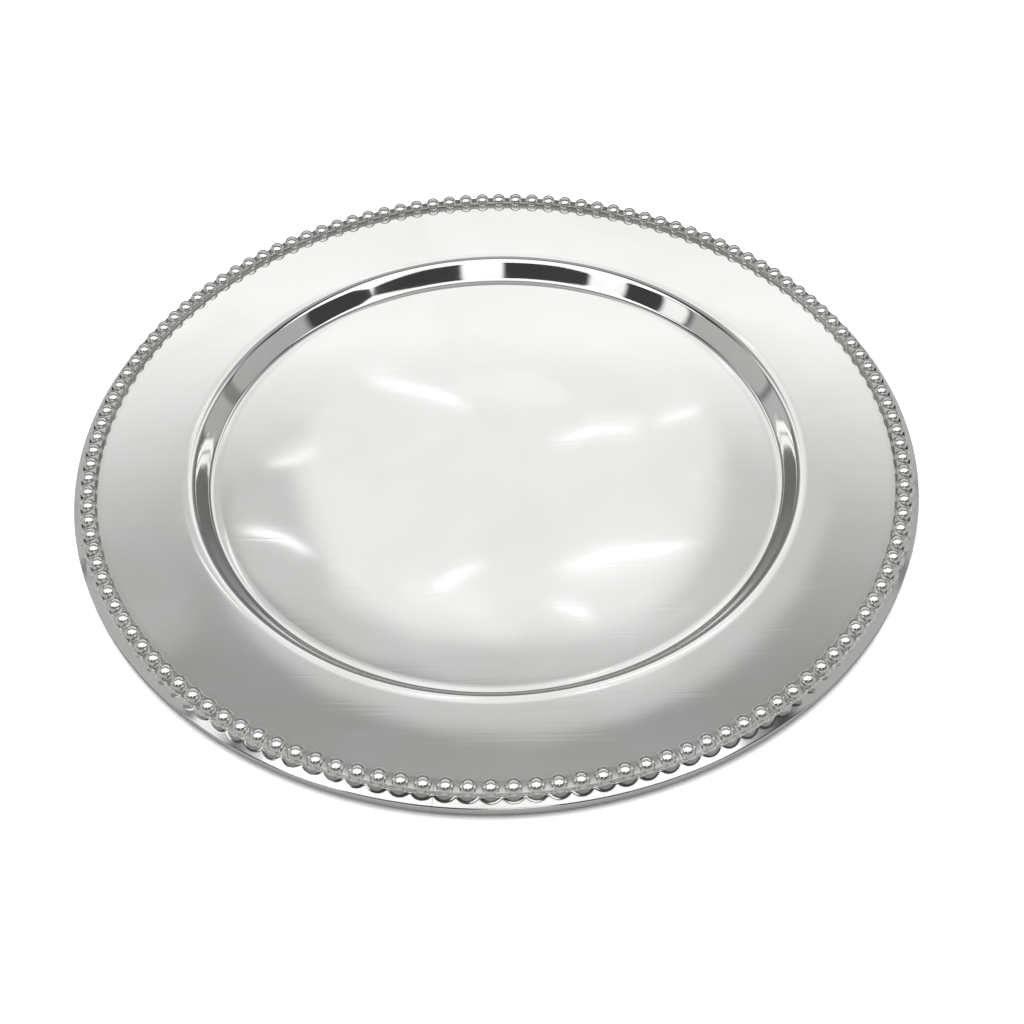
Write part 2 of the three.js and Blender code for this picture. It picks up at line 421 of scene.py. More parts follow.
def tarnish_film():
    """Silver's colour: a faint warm film in patches, and dull tarnish in the recesses."""
    found = bpy.data.node_groups.get("Tarnish Film")
    if found:
        return found
    tree, given, result = new_group(
        "Tarnish Film",
        "ShaderNodeTree",
        [
            ("Silver", COLOUR, None),
            ("Warm Silver", COLOUR, None),
            ("Tarnish", COLOUR, None),
            ("Amount", FLOAT, 0.5),
            ("Patch Scale", FLOAT, 22.0),
        ],
        [("Color", COLOUR), ("Mask", FLOAT)],
    )
    place_on = add(tree, "ShaderNodeTexCoord").outputs["Object"]
    patch = clouds(tree, place_on, given["Patch Scale"], detail=4.0, distortion=0.8)
    filmed = ramp(tree, patch, *FILM_NOISE)
    film = blend(tree, filmed, given["Silver"], given["Warm Silver"])
    recess = add(tree, "ShaderNodeAttribute", attribute_name="recess").outputs["Fac"]
    uneven = ramp(tree, patch, *TARNISH_NOISE, TARNISH_LEAST, 1.0)
    mask = times(tree, times(tree, recess, uneven), given["Amount"])
    tarnished = blend(tree, mask, film, given["Tarnish"])
    tree.links.new(tarnished, result.inputs["Color"])
    tree.links.new(mask, result.inputs["Mask"])
    return tree


def silver_material(name):
    """Silver in one of the finishes, its colour and polish varying over the surface."""
    found = bpy.data.materials.get(name)
    if found:
        return found
    finish = bpy.context.scene.salver_finish
    roughness, spread, tarnish, scale, depth = FINISHES[name]
    material = bpy.data.materials.new(name)
    material.use_nodes = True
    tree = material.node_tree
    tree.nodes.clear()
    colours = {"Silver": finish.silver, "Warm Silver": finish.warm_silver, "Tarnish": finish.tarnish}
    film = add(tree, "ShaderNodeGroup", {**colours, "Amount": tarnish}, node_tree=tarnish_film())
    polish = {"Hairline Scale": scale, "Roughness": getattr(finish, roughness), "Spread": spread}
    marks = add(tree, "ShaderNodeGroup", polish, node_tree=polish_marks())
    duller = times(tree, film.outputs["Mask"], TARNISH_DULLING)
    total = maths(tree, "ADD", marks.outputs["Roughness"], duller)
    lines = {"Height": marks.outputs["Height"], "Strength": HAIRLINE_STRENGTH, "Distance": depth}
    bump = add(tree, "ShaderNodeBump", lines).outputs[0]
    metal = add(
        tree,
        "ShaderNodeBsdfPrincipled",
        {"Base Color": film.outputs["Color"], "Metallic": 1.0, "Roughness": total, "Normal": bump},
    ).outputs[0]
    add(tree, "ShaderNodeOutputMaterial", {"Surface": metal})
    return material


# ---------- dish ----------

DISH_SEGMENTS = 320
RING_STEP = 3 * MM  # between rings on the flat stretches
FILLET_RINGS = 8
BOOGE_RINGS = 4
DISH_CREASE = 40  # degrees above which an edge of the dish is sharp
ON_TOP = 0.75  # of the gauge: a vertex higher than this is on the upper face
WELL_FADE = (12 * MM, 2 * MM)  # inwards of the well's edge, where its unevenness dies away
SHOULDER_FADE = 8 * MM  # outwards of the shoulder, where the rim's unevenness grows
BORDER_FADE = (12 * MM, 6 * MM)  # inwards of the dish's edge, where it dies away
BROAD_OFFSET = Vector((3.1, 7.7, 0.4))
FINE_OFFSET = Vector((11.2, 1.9, 5.3))
FINE_SCALE = 2.3
FINE_SHARE = 0.35
RECESS_BY_BEADS = 2.2 * MM  # width beside the border
RECESS_IN_FOOT = (1.5 * MM, 3 * MM, 0.35)  # middle past the well, half width, and amount


def rim_slope(dish):
    """The rim's tilt, and the height of the sheet's middle at its shoulder."""
    shoulder = dish.well_radius + dish.booge_run
    tilt = math.atan(dish.rim_rise / (dish.edge_radius - shoulder))
    middle_at_edge = dish.edge_height - dish.sheet / 2 / math.cos(tilt)
    return tilt, middle_at_edge - dish.rim_rise


def dish_line(dish):
    """The sheet's middle line from the axis to the edge, as (radius, height, slope)."""
    low = dish.sheet / 2
    tilt, high = rim_slope(dish)
    rise = high - low
    shoulder = dish.well_radius + dish.booge_run
    fillets = dish.foot_fillet + dish.shoulder_fillet
    straight = math.sqrt(dish.booge_run**2 + (rise - fillets) ** 2 - fillets**2)
    steepest = math.atan2(rise - fillets, dish.booge_run) + math.atan2(fillets, straight)
    line = []
    flat_rings = round(dish.well_radius / RING_STEP)
    for ring in range(flat_rings):
        line.append((dish.well_radius * ring / flat_rings, low, 0.0))
    for step in range(FILLET_RINGS + 1):
        slope = steepest * step / FILLET_RINGS
        radius = dish.well_radius + dish.foot_fillet * math.sin(slope)
        line.append((radius, low + dish.foot_fillet * (1 - math.cos(slope)), slope))
    foot_end = line[-1]
    shoulder_start = (
        shoulder - dish.shoulder_fillet * math.sin(steepest),
        high - dish.shoulder_fillet * (1 - math.cos(steepest)),
    )
    for ring in range(1, BOOGE_RINGS):
        part = ring / BOOGE_RINGS
        radius = foot_end[0] + (shoulder_start[0] - foot_end[0]) * part
        line.append((radius, foot_end[1] + (shoulder_start[1] - foot_end[1]) * part, steepest))
    for step in range(FILLET_RINGS + 1):
        slope = steepest + (tilt - steepest) * step / FILLET_RINGS
        radius = shoulder - dish.shoulder_fillet * math.sin(slope)
        line.append((radius, high - dish.shoulder_fillet * (1 - math.cos(slope)), slope))
    start = line[-1][0]
    rim_rings = round((dish.edge_radius - start) / RING_STEP)
    for ring in range(1, rim_rings + 1):
        radius = start + (dish.edge_radius - start) * ring / rim_rings
        line.append((radius, high + (radius - shoulder) * math.tan(tilt), tilt))
    return line


def face_of(line, sheet, side):
    """The sheet's upper face for side 1, or its underside for side -1."""
    half = side * sheet / 2
    return [
        (max(0.0, radius - half * math.sin(slope)), height + half * math.cos(slope))
        for radius, height, slope in line
    ]


def fade(value, low, high):
    """0 below low, 1 above high, and smooth between them."""
    part = min(1.0, max(0.0, (value - low) / (high - low)))
    return part * part * (3 - 2 * part)


def wave_at(dish, place_at, radius):
    """Unevenness of the upper face: most in the well, less on the rim, none at the booge."""
    well_part = 1 - fade(radius, dish.well_radius - WELL_FADE[0], dish.well_radius - WELL_FADE[1])
    shoulder = dish.well_radius + dish.booge_run
    rim_part = fade(radius, shoulder, shoulder + SHOULDER_FADE)
    rim_part *= 1 - fade(radius, dish.edge_radius - BORDER_FADE[0], dish.edge_radius - BORDER_FADE[1])
    amount = well_part + rim_part * (1 - dish.rim_evenness)
    spot = Vector((place_at.x, place_at.y, 0.0)) / dish.wave_length
    broad = noise.noise(spot + BROAD_OFFSET)
    fine = noise.noise(spot * FINE_SCALE + FINE_OFFSET)
    return dish.wave_height * amount * (broad + FINE_SHARE * fine)


class SALVER_OT_dish(bpy.types.Operator):
    """Spin the dish: well, booge and rim, with the faint unevenness of worked sheet"""

    bl_idname = "salver.make_dish"
    bl_label = "Make Dish"

    def execute(self, context):
        dish = context.scene.salver_dish
        line = dish_line(dish)
        underside = face_of(line, dish.sheet, -1)
        top = face_of(line, dish.sheet, 1)
        mesh = turned("dish", underside + top[::-1], DISH_SEGMENTS)
        over_well = dish.sheet * ON_TOP
        over_rim = dish.edge_height - dish.rim_rise - dish.sheet * ON_TOP
        for vertex in mesh.vertices:
            radius = vertex.co.xy.length
            if vertex.co.z > (over_well if radius < dish.well_radius else over_rim):
                vertex.co.z += wave_at(dish, vertex.co, radius)
        border = context.scene.salver_border
        inner_edge = dish.edge_radius - 2 * border.inset

        def recess_at(spot):
            radius = spot.xy.length
            beside_beads = fade(radius, inner_edge - RECESS_BY_BEADS, inner_edge)
            middle, half, amount = RECESS_IN_FOOT
            in_foot = 1 - fade(abs(radius - dish.well_radius - middle), 0.0, half)
            return max(beside_beads, amount * in_foot)

        set_recess(mesh, recess_at)
        smooth(mesh, DISH_CREASE)
        place(mesh, "dish", silver_material("polished sheet"))
        return {"FINISHED"}


# ---------- bead border ----------

BEAD_SEGMENTS = 16
BEAD_RINGS = 10
STRIP_RINGS = 34
STRIP_FILLET_STEPS = 3
RING_SIZES = (
    "Ring Radius", "Bead Radius", "Bead Height", "Bead Root", "Pitch", "Start", "Joint", "Rim Slope",
    "Strip Base",
)
STRIP_SIZES = (  # each stands in the settings under the same name
    "Strip Outside", "Strip Inside", "Strip Thickness", "Strip Crest", "Strip Batter", "Strip Fillet",
)
CREASE = 50  # degrees above which an edge of the border, the lip or the wire is sharp
RECESS_ON_STRIP = (-0.3 * MM, 0.5 * MM)  # from full to none, over the strip's crest


def bead_border_tree():
    """Beads on a strip, along part of a circle."""
    found = bpy.data.node_groups.get("Bead Border")
    if found:
        return found
    sockets = [(name, FLOAT, None) for name in (*RING_SIZES, *STRIP_SIZES)]
    sockets += [("Beads", "NodeSocketInt", None), ("Material", "NodeSocketMaterial", None)]
    outputs = [("Geometry", "NodeSocketGeometry")]
    tree, given, result = new_group("Bead Border", "GeometryNodeTree", sockets, outputs)

    # One bead, with its root flattened inside the strip.
    ball = add(
        tree,
        "GeometryNodeMeshUVSphere",
        {"Segments": BEAD_SEGMENTS, "Rings": BEAD_RINGS, "Radius": given["Bead Radius"]},
    ).outputs["Mesh"]
    position = add(tree, "GeometryNodeInputPosition").outputs[0]
    parts = add(tree, "ShaderNodeSeparateXYZ", {0: position}).outputs
    root = times(tree, given["Bead Root"], -1.0)
    height = maths(tree, "MAXIMUM", parts[2], root)
    flattened = vector(tree, X=parts[0], Y=parts[1], Z=height)
    bead = add(tree, "GeometryNodeSetPosition", {"Geometry": ball, "Position": flattened}).outputs[0]

    # The beads stand evenly between the two joints.
    number_of = add(tree, "GeometryNodeInputIndex").outputs[0]
    steps = maths(tree, "ADD", number_of, 0.5)
    turn = maths(tree, "ADD", given["Start"], times(tree, steps, given["Pitch"]))
    spot = vector(
        tree,
        X=times(tree, given["Ring Radius"], maths(tree, "COSINE", turn)),
        Y=times(tree, given["Ring Radius"], maths(tree, "SINE", turn)),
        Z=given["Bead Height"],
    )
    spots = add(tree, "GeometryNodePoints", {"Count": given["Beads"], "Position": spot}).outputs[0]
    standing = {"Points": spots, "Instance": bead, "Rotation": vector(tree, Z=turn)}
    beads = add(tree, "GeometryNodeInstanceOnPoints", standing).outputs[0]

    # The strip follows their circle, short of each joint by half its width.
    half_joint = maths(tree, "DIVIDE", times(tree, given["Joint"], 0.5), given["Ring Radius"])
    sweep = times(tree, given["Beads"], given["Pitch"])
    path = add(
        tree,
        "GeometryNodeCurveArc",
        {
            "Resolution": STRIP_RINGS,
            "Radius": given["Ring Radius"],
            "Start Angle": maths(tree, "ADD", given["Start"], half_joint),
            "Sweep Angle": maths(tree, "SUBTRACT", sweep, times(tree, half_joint, 2.0)),
        },
        mode="RADIUS",
    ).outputs["Curve"]
    upright = add(tree, "GeometryNodeSetCurveNormal", {"Curve": path}, mode="Z_UP").outputs[0]

    # Its section: X runs outwards and Y downwards. The underside lies along the rim's slope.
    outside = given["Strip Outside"]
    inside = times(tree, given["Strip Inside"], -1.0)
    falling = times(tree, given["Rim Slope"], -1.0)
    leaning = maths(tree, "ADD", inside, given["Strip Batter"])
    corners = (
        (outside, times(tree, outside, falling)),
        (inside, times(tree, inside, falling)),
        (leaning, times(tree, given["Strip Crest"], -1.0)),
        (outside, times(tree, given["Strip Thickness"], -1.0)),
    )
    points = {}
    for count, (x, y) in enumerate(corners, start=1):
        points[f"Point {count}"] = vector(tree, X=x, Y=y)
    outline = add(tree, "GeometryNodeCurvePrimitiveQuadrilateral", points, mode="POINTS").outputs[0]
    fillet = {"Curve": outline, "Count": STRIP_FILLET_STEPS, "Radius": given["Strip Fillet"]}
    fillet["Limit Radius"] = True
    rounded = add(tree, "GeometryNodeFilletCurve", fillet, mode="POLY").outputs[0]
    swept = {"Curve": upright, "Profile Curve": rounded, "Fill Caps": True}
    flat = add(tree, "GeometryNodeCurveToMesh", swept).outputs[0]
    lifted = {"Geometry": flat, "Offset": vector(tree, Z=given["Strip Base"])}
    strip = add(tree, "GeometryNodeSetPosition", lifted).outputs[0]
    joined = tree.nodes.new("GeometryNodeJoinGeometry")
    for piece in (beads, strip):
        tree.links.new(piece, joined.inputs[0])
    whole = add(tree, "GeometryNodeRealizeInstances", {"Geometry": joined.outputs[0]}).outputs[0]
    in_silver = {"Geometry": whole, "Material": given["Material"]}
    finished = add(tree, "GeometryNodeSetMaterial", in_silver).outputs[0]
    tree.links.new(finished, result.inputs["Geometry"])
    return tree


def grown(name, tree, values):
    """The plain mesh that a Geometry Nodes tree makes from named values."""
    maker = shown(name, bpy.data.meshes.new(name))
    modifier = maker.modifiers.new("grow", "NODES")
    modifier.node_group = tree
    for item in tree.interface.items_tree:
        if item.item_type == "SOCKET" and item.in_out == "INPUT":
            modifier[item.identifier] = values[item.name]
    depsgraph = bpy.context.evaluated_depsgraph_get()
    mesh = bpy.data.meshes.new_from_object(maker.evaluated_get(depsgraph))
    maker.modifiers.remove(modifier)
    bpy.data.objects.remove(maker)
    mesh.name = name
    return mesh


class SALVER_OT_bead_border(bpy.types.Operator):
    """Strike the beaded border in its lengths, soldered end to end round the rim"""

    bl_idname = "salver.make_bead_border"
    bl_label = "Make Bead Border"

    def execute(self, context):
        dish = context.scene.salver_dish
        border = context.scene.salver_border
        tilt, _ = rim_slope(dish)
        strip_base = dish.edge_height - border.inset * math.tan(tilt) + SEAT
        bead_height = LIP_HIGH.z - border.bead_sink
        bead_radius = BEADS_HIGH.z - bead_height
        share_of_turn = 2 * math.pi / len(BORDER_NODES)
        material = silver_material("struck beads")

        def recess_at(spot):
            crest = strip_base + border.strip_crest
            low, high = RECESS_ON_STRIP
            return 1 - fade(spot.z, crest + low, crest + high)

        for count, node in enumerate(BORDER_NODES):
            values = {
                "Ring Radius": dish.edge_radius - border.inset,
                "Bead Radius": bead_radius,
                "Bead Height": bead_height,
                "Bead Root": border.bead_root,
                "Beads": border.beads,
                "Pitch": share_of_turn / border.beads,
                "Start": border.first_joint + count * share_of_turn,
                "Joint": border.joint,
                "Rim Slope": math.tan(tilt),
                "Strip Base": strip_base,
                "Material": material,
            }
            for name in STRIP_SIZES:
                values[name] = getattr(border, name.lower().replace(" ", "_"))
            mesh = grown(node, bead_border_tree(), values)
            if not mesh.vertices:
                raise RuntimeError("the border's nodes made no mesh")
            set_recess(mesh, recess_at)
            smooth(mesh, CREASE)
            place(mesh, node, material)
        return {"FINISHED"}


# ---------- lip moulding ----------

LIP_FACE_RINGS = 12
STEPS_A_BEAD = 12
ARRIS_STEPS = 3
THIN_EDGE = 0.05 * MM  # thickness of the lip's edge over the dish
BRINK = 0.12 * MM  # from the sloping face to the lip's outer radius
SKIRT_TOP = 3.0 * MM  # from a bead's centre to where its skirt is highest
RECESS_UNDER_LIP = (1.5 * MM, 0.4)  # height over the lower edge, and amount


def round_corners(outline, radius, keep):
    """Rounds the corners of a closed outline, except those listed in keep."""
    rounded = []
    count = len(outline)
    for index, corner in enumerate(outline):
        if index in keep:
            rounded.append(corner)
            continue
        here = Vector(corner)
        before = Vector(outline[index - 1]) - here
        after = Vector(outline[(index + 1) % count]) - here
        reach = min(radius, before.length / 3, after.length / 3)
        start = here + before.normalized() * reach
        end = here + after.normalized() * reach
        for step in range(ARRIS_STEPS + 1):
            part = step / ARRIS_STEPS
            curve = start * (1 - part) ** 2 + here * 2 * part * (1 - part) + end * part**2
            rounded.append(tuple(curve))
    return rounded


def lip_outline(dish, lip):
    """The moulding's section, outwards along the underside and back over its sloping face."""
    tilt, middle = rim_slope(dish)
    inner = lip.outer_radius - lip.width
    ledge_radius = dish.edge_radius - lip.ledge_width
    shoulder = dish.well_radius + dish.booge_run
    middle_there = middle + (ledge_radius - shoulder) * math.tan(tilt)
    ledge_top = middle_there - dish.sheet / 2 / math.cos(tilt) - lip.seam
    ledge_bottom = ledge_top - lip.ledge_thickness
    seat = dish.edge_height + SEAT
    brink = lip.outer_radius - BRINK
    fall = math.tan(lip.slope)
    start = inner - lip.overlap
    corners = [
        (ledge_radius, ledge_top),
        (ledge_radius, ledge_bottom),
        (inner - lip.edge_wall, ledge_bottom),
        (lip.outer_radius - lip.edge_wall, LIP_LOW.z),
        (lip.outer_radius - lip.undercut, LIP_LOW.z),
        (lip.outer_radius, seat - (lip.outer_radius - start) * fall),
    ]
    first_ring = len(corners)
    for ring in range(LIP_FACE_RINGS + 1):
        radius = brink + (start - brink) * ring / LIP_FACE_RINGS
        corners.append((radius, seat + THIN_EDGE - (radius - start) * fall))
    last_ring = len(corners) - 1
    corners.append((start, seat))
    corners.append((inner, seat))
    corners.append((inner, ledge_top))
    kept = set(range(first_ring, last_ring + 3))
    return round_corners(corners, lip.arris, kept)


def skirt_rise(lip, spot, bead_ring, pitch, first):
    """Rise of the hollow skirt that joins a bead to the lip's face."""
    turn = math.atan2(spot.y, spot.x) - first
    off_bead = (turn / pitch - 0.5) - round(turn / pitch - 0.5)
    away = math.hypot(spot.xy.length - bead_ring, off_bead * pitch * bead_ring)
    part = min(1.0, max(0.0, (lip.skirt_reach - away) / (lip.skirt_reach - SKIRT_TOP)))
    return lip.skirt_height * part * part


class SALVER_OT_lip_moulding(bpy.types.Operator):
    """Draw the lip moulding and bend it round the edge of the dish, in its lengths"""

    bl_idname = "salver.make_lip_moulding"
    bl_label = "Make Lip Moulding"

    def execute(self, context):
        dish = context.scene.salver_dish
        border = context.scene.salver_border
        lip = context.scene.salver_lip
        outline = lip_outline(dish, lip)
        share_of_turn = 2 * math.pi / len(LIP_NODES)
        half_joint = lip.joint / 2 / lip.outer_radius
        first = border.first_joint
        all_beads = border.beads * len(BORDER_NODES)
        pitch = 2 * math.pi / all_beads
        steps = STEPS_A_BEAD * all_beads // len(LIP_NODES)
        bead_ring = dish.edge_radius - border.inset
        face_start = lip.outer_radius - lip.width - lip.overlap
        fall = math.tan(lip.slope)

        def recess_at(spot):
            height, amount = RECESS_UNDER_LIP
            return amount * (1 - fade(spot.z, LIP_LOW.z, LIP_LOW.z + height))

        for count, node in enumerate(LIP_NODES):
            start = first + count * share_of_turn
            mesh = bar(node, outline, start + half_joint, start + share_of_turn - half_joint, steps)
            for vertex in mesh.vertices:
                below_face = dish.edge_height + SEAT - (vertex.co.xy.length - face_start) * fall
                if vertex.co.z > below_face + THIN_EDGE / 2:
                    vertex.co.z += skirt_rise(lip, vertex.co, bead_ring, pitch, first)
            set_recess(mesh, recess_at)
            smooth(mesh, CREASE)
            place(mesh, node, silver_material("drawn moulding"))
        return {"FINISHED"}


# ---------- rim wire ----------

WIRE_SEGMENTS = 288
WIRE_SIDES = 16
SOLDER_SPREAD = 2.2 * MM
WIRE_RECESS = 0.6


class SALVER_OT_rim_wire(bpy.types.Operator):
    """Bend the stiffening wire into its ring under the rim, with a lump of solder at its joint"""

    bl_idname = "salver.make_rim_wire"
    bl_label = "Make Rim Wire"

    def execute(self, context):
        lip = context.scene.salver_lip
        radius = (WIRE_HIGH.z - WIRE_LOW.z) / 2
        ring = WIRE_HIGH.x - radius
        height = (WIRE_HIGH.z + WIRE_LOW.z) / 2
        section = arc((ring, height), radius, 0, 360, WIRE_SIDES)[:-1]
        mesh = turned("rim_wire", section, WIRE_SEGMENTS)
        joint_turn = context.scene.salver_border.first_joint
        joint = Vector((ring * math.cos(joint_turn), ring * math.sin(joint_turn), height))
        for vertex in mesh.vertices:
            outwards = vertex.co.xy.normalized() * ring
            centre = Vector((outwards.x, outwards.y, height))
            away = vertex.co - centre
            swell = lip.solder_swell * math.exp(-(((centre - joint).length / SOLDER_SPREAD) ** 2))
            if away.z <= radius / 2 and away.xy.dot(centre.xy) <= radius * ring / 2:
                vertex.co += away.normalized() * swell
        set_recess(mesh, lambda spot: WIRE_RECESS)
        smooth(mesh, CREASE)
        place(mesh, "rim_wire", silver_material("hard wire"))
        return {"FINISHED"}


# ---------- stage ----------

# Soft lights of the studio, as seen from the table. Each has the direction of its middle, in
# degrees clockwise from the back and up from the horizon, half its width and half its height,
# its lean in degrees, its squareness (2 is an ellipse), its softness, and its brightness.
SOFT_LIGHTS = (
    (0.0, 46.0, 14.6, 7.5, 0.0, 2.0, 0.10, 0.61),  # round diffuser overhead
    (0.0, 46.0, 11.3, 6.5, 0.0, 2.6, 0.22, 0.89),  # lamp within it
    (-18.0, 48.2, 6.0, 2.6, 0.0, 2.0, 0.60, 0.46),  # its glow on the left wall
    (176.5, 32.5, 8.0, 5.5, 0.0, 6.0, 0.15, 1.10),  # window behind the camera
    (-136.0, 29.5, 7.0, 5.5, 0.0, 6.0, 0.20, 1.05),  # second window
    (-109.5, 24.5, 5.0, 6.0, 0.0, 6.0, 0.30, 0.98),  # third window
    (91.0, 20.0, 17.5, 20.0, 0.0, 6.0, 0.12, 0.42),  # right reflector
    (121.0, 36.5, 10.0, 5.0, 0.0, 6.0, 0.20, 0.36),  # its upper flap
    (62.0, 8.0, 8.0, 14.0, 0.0, 6.0, 0.30, 0.42),  # far right reflector
    (-85.0, 18.0, 18.0, 20.0, 0.0, 6.0, 0.12, 0.45),  # left reflector
    (-122.0, 37.0, 10.0, 5.0, 0.0, 6.0, 0.20, 0.60),  # its upper flap
    (-58.0, 6.0, 8.0, 12.0, 0.0, 6.0, 0.30, 0.46),  # far left reflector
)

# Folds in the round diffuser, in the same order: broad ones first, then the sharp creases that
# show as bright streaks in the well.
FOLDS = (
    (5.4, 49.0, 5.2, 1.00, -6.0, 2.0, 0.50, 0.97),
    (-3.4, 50.1, 4.2, 0.90, 12.0, 2.0, 0.50, 0.96),
    (0.2, 43.2, 4.6, 1.10, 8.0, 2.0, 0.60, 0.97),
    (4.6, 44.5, 3.6, 0.55, -9.0, 2.0, 0.60, 0.97),
    (-4.6, 45.2, 3.0, 0.45, -14.0, 2.0, 0.60, 0.95),
    (-8.2, 49.2, 2.0, 0.45, 24.0, 2.0, 0.60, 0.92),
    (-4.1, 43.1, 3.1, 0.16, 16.0, 2.0, 0.60, 1.60),
    (-10.2, 44.9, 1.5, 0.17, 2.0, 2.0, 0.60, 1.50),
    (-11.7, 47.6, 1.9, 0.18, 21.0, 2.0, 0.60, 1.60),
    (-3.0, 49.4, 2.0, 0.17, -15.0, 2.0, 0.60, 1.60),
    (5.6, 48.8, 4.3, 0.18, -8.0, 2.0, 0.60, 1.60),
    (3.1, 50.7, 1.6, 0.17, 12.0, 2.0, 0.60, 1.60),
    (4.0, 44.8, 2.8, 0.15, -7.0, 2.0, 0.60, 1.40),
    (7.8, 43.9, 1.4, 0.15, -21.0, 2.0, 0.60, 1.40),
)


def soft_light_group():
    """The brightness of one soft light in a direction."""
    found = bpy.data.node_groups.get("Soft Light")
    if found:
        return found
    names = (
        "Azimuth", "Elevation", "Middle Azimuth", "Middle Elevation", "Half Width", "Half Height",
        "Lean", "Squareness", "Softness", "Brightness",
    )
    sockets = [(name, FLOAT, 1.0) for name in names]
    tree, given, result = new_group("Soft Light", "ShaderNodeTree", sockets, [("Light", FLOAT)])
    across = maths(tree, "SUBTRACT", given["Azimuth"], given["Middle Azimuth"])
    across = maths(tree, "WRAP", across, 180.0, -180.0)
    along = maths(tree, "SUBTRACT", given["Elevation"], given["Middle Elevation"])
    lean = maths(tree, "RADIANS", given["Lean"])
    cosine = maths(tree, "COSINE", lean)
    sine = maths(tree, "SINE", lean)
    turned_across = maths(tree, "ADD", times(tree, across, cosine), times(tree, along, sine))
    turned_along = maths(tree, "SUBTRACT", times(tree, along, cosine), times(tree, across, sine))
    shares = []
    for offset, half in ((turned_across, given["Half Width"]), (turned_along, given["Half Height"])):
        part = maths(tree, "ABSOLUTE", maths(tree, "DIVIDE", offset, half))
        shares.append(maths(tree, "POWER", part, given["Squareness"]))
    root = maths(tree, "DIVIDE", 1.0, given["Squareness"])
    from_middle = maths(tree, "POWER", maths(tree, "ADD", shares[0], shares[1]), root)
    inner = maths(tree, "SUBTRACT", 1.0, given["Softness"])
    outer = maths(tree, "ADD", 1.0, given["Softness"])
    inside = ramp(tree, from_middle, inner, outer, 1.0, 0.0)
    tree.links.new(times(tree, inside, given["Brightness"]), result.inputs["Light"])
    return tree


# How bright the back of the studio is at each elevation in degrees, and its camera side.
BACK_OF_STUDIO = (
    (-90.0, 0.90), (-2.0, 0.90), (0.0, 0.16), (14.0, 0.17), (28.0, 0.30), (36.0, 0.90), (41.5, 1.02),
    (44.0, 0.75), (46.0, 0.55), (48.0, 0.43), (50.5, 0.34), (52.5, 0.335), (54.5, 0.38), (90.0, 0.36),
)
CAMERA_SIDE = (
    (-90.0, 0.90), (-2.0, 0.90), (0.0, 0.26), (16.0, 0.24), (20.0, 0.05), (90.0, 0.03),
)
WALL_TILT = 0.02  # how far the back wall's upper edge rises to the right, in degrees a degree
TILT_ENDS = (30.0, 60.0)  # degrees off the back, between which that tilt dies away
BACK_ENDS = (50.0, 80.0)  # degrees off the back, between which the camera side takes over


def by_elevation(tree, elevation, levels):
    """Brightness that follows a few levels of elevation."""
    whole = {"Value": elevation, "From Min": -90.0, "From Max": 90.0}
    part = add(tree, "ShaderNodeMapRange", whole).outputs[0]
    node = add(tree, "ShaderNodeValToRGB", {"Fac": part})
    stops = node.color_ramp
    stops.interpolation = "LINEAR"
    for index, (degrees, level) in enumerate(levels):
        at = (degrees + 90.0) / 180.0
        stop = stops.elements[index] if index < 2 else stops.elements.new(at)
        stop.position = at
        stop.color = (level, level, level, 1.0)
    return node.outputs["Color"]


def studio_world():
    world = bpy.data.worlds.new("studio")
    bpy.context.scene.world = world
    world.use_nodes = True
    tree = world.node_tree
    tree.nodes.clear()
    degrees = 180.0 / math.pi
    direction = add(tree, "ShaderNodeTexCoord").outputs["Generated"]
    x, y, z = add(tree, "ShaderNodeSeparateXYZ", {0: direction}).outputs
    elevation = times(tree, maths(tree, "ARCSINE", z), degrees)
    azimuth = times(tree, maths(tree, "ARCTAN2", x, y), degrees)
    off_back = maths(tree, "ABSOLUTE", azimuth)

    at_the_back = ramp(tree, off_back, *TILT_ENDS, 1.0, 0.0)
    tilt = times(tree, times(tree, azimuth, WALL_TILT), at_the_back)
    back = by_elevation(tree, maths(tree, "SUBTRACT", elevation, tilt), BACK_OF_STUDIO)
    camera_side = by_elevation(tree, elevation, CAMERA_SIDE)
    base = blend(tree, ramp(tree, off_back, *BACK_ENDS), back, camera_side)
    brightest = add(tree, "ShaderNodeSeparateColor", {0: base}).outputs[0]
    towards = {"Azimuth": azimuth, "Elevation": elevation}
    for sizes in SOFT_LIGHTS + FOLDS:
        node = add(tree, "ShaderNodeGroup", towards, node_tree=soft_light_group())
        for socket, size in zip(list(node.inputs)[2:], sizes):
            socket.default_value = size
        brightest = maths(tree, "MAXIMUM", brightest, node.outputs[0])
    shade = add(tree, "ShaderNodeCombineColor", {0: brightest, 1: brightest, 2: brightest}).outputs[0]
    background = add(tree, "ShaderNodeBackground", {"Color": shade, "Strength": 1.0}).outputs[0]
    add(tree, "ShaderNodeOutputWorld", {"Surface": background})


FLOOR_ROUGHNESS = 0.9
FLOOR_SHINE = 0.1
SENSOR_WIDTH = 36.0  # in millimetres
NEAREST_SEEN = 0.01


def studio_floor(studio):
    half = studio.floor_size / 2
    corners = [(-half, -half, 0.0), (half, -half, 0.0), (half, half, 0.0), (-half, half, 0.0)]
    mesh = mesh_of("floor", corners, [(0, 1, 2, 3)])
    material = bpy.data.materials.new("pale floor with painted shade in mirrors")
    material.use_nodes = True
    tree = material.node_tree
    surface = tree.nodes["Principled BSDF"]
    # Painted shade: glossy rays see the floor in the darker colour, so the silver mirrors a shaded
    # floor while the camera sees it pale.
    painted_shade_mask = add(tree, "ShaderNodeLightPath").outputs["Is Glossy Ray"]
    shade = blend(tree, painted_shade_mask, studio.floor, studio.painted_floor_shade)
    tree.links.new(shade, surface.inputs["Base Color"])
    surface.inputs["Roughness"].default_value = FLOOR_ROUGHNESS
    surface.inputs["Specular IOR Level"].default_value = FLOOR_SHINE
    mesh.materials.append(material)
    floor = shown("floor", mesh)


